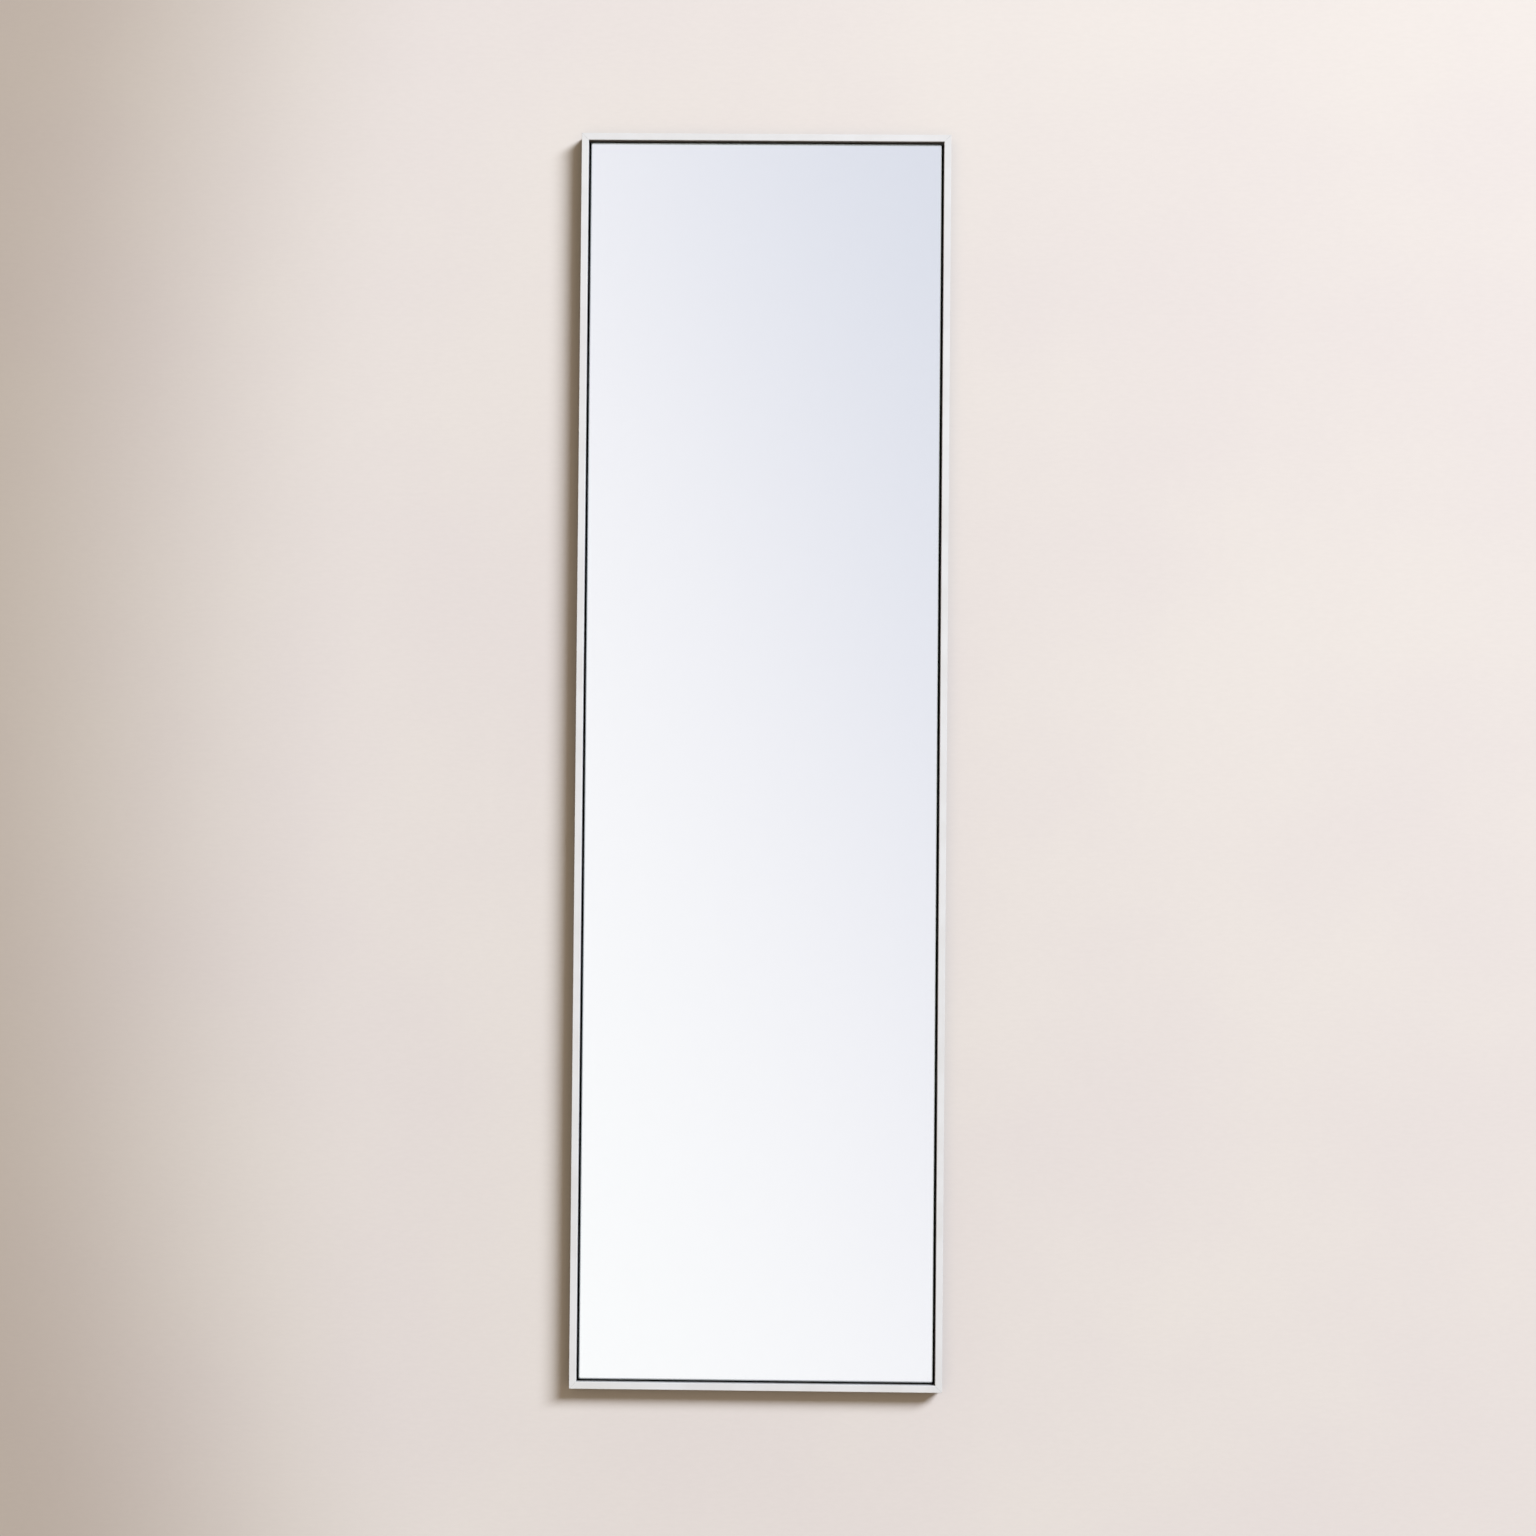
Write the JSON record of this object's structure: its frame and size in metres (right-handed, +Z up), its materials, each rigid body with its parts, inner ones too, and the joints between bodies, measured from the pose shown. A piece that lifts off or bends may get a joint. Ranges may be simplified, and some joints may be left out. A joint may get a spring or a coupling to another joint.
{
  "type": "wall mirror",
  "caption": "Tall rectangular wall mirror in a slim white metal frame, with an open shadow gap round the glass and ring hangers on the back.",
  "frame": {"origin": "on the wall plane, behind the middle of the mirror", "axes": "+X to the right of someone facing the mirror, +Y into the wall, +Z up"},
  "size_m": [0.45, 0.027, 1.524],
  "materials": {
    "white_coat": "satin",
    "cast_key": "matte",
    "black_foam": "matte",
    "float_glass": "gloss",
    "silver": "polished",
    "foam_tape": "matte",
    "fibreboard": "matte",
    "zinc_screw": "satin",
    "zinc_strap": "satin",
    "ring_wire": "satin",
    "clear_rubber": "satin"
  },
  "bodies": {
    "frame": {"bottom_rail": "white_coat", "carrier_board": "fibreboard", "corner_key_1": "cast_key", "corner_key_2": "cast_key", "corner_key_3": "cast_key", "corner_key_4": "cast_key", "corner_screws": "zinc_screw", "gap_seal_bottom": "black_foam", "gap_seal_left": "black_foam", "gap_seal_right": "black_foam", "gap_seal_top": "black_foam", "hanger_screws": "zinc_screw", "hanger_strap_left": "zinc_strap", "hanger_strap_right": "zinc_strap", "left_rail": "white_coat", "mirror_glass": "float_glass", "mounting_tape": "foam_tape", "panel_screws": "zinc_screw", "right_rail": "white_coat", "silver_coating": "silver", "top_rail": "white_coat", "wall_bumpers": "clear_rubber"},
    "ring_left": {"d_ring_left": "ring_wire"},
    "ring_right": {"d_ring_right": "ring_wire"}
  },
  "joints": [
    {"name": "ring_left_swing", "type": "hinge", "parent": "frame", "child": "ring_left", "pos_m": [-0.2055, -0.00585, 0.542], "axis": [1, 0, 0], "range_deg": [0, 177]},
    {"name": "ring_right_swing", "type": "hinge", "parent": "frame", "child": "ring_right", "pos_m": [0.2055, -0.00585, 0.542], "axis": [1, 0, 0], "range_deg": [0, 177]}
  ]
}
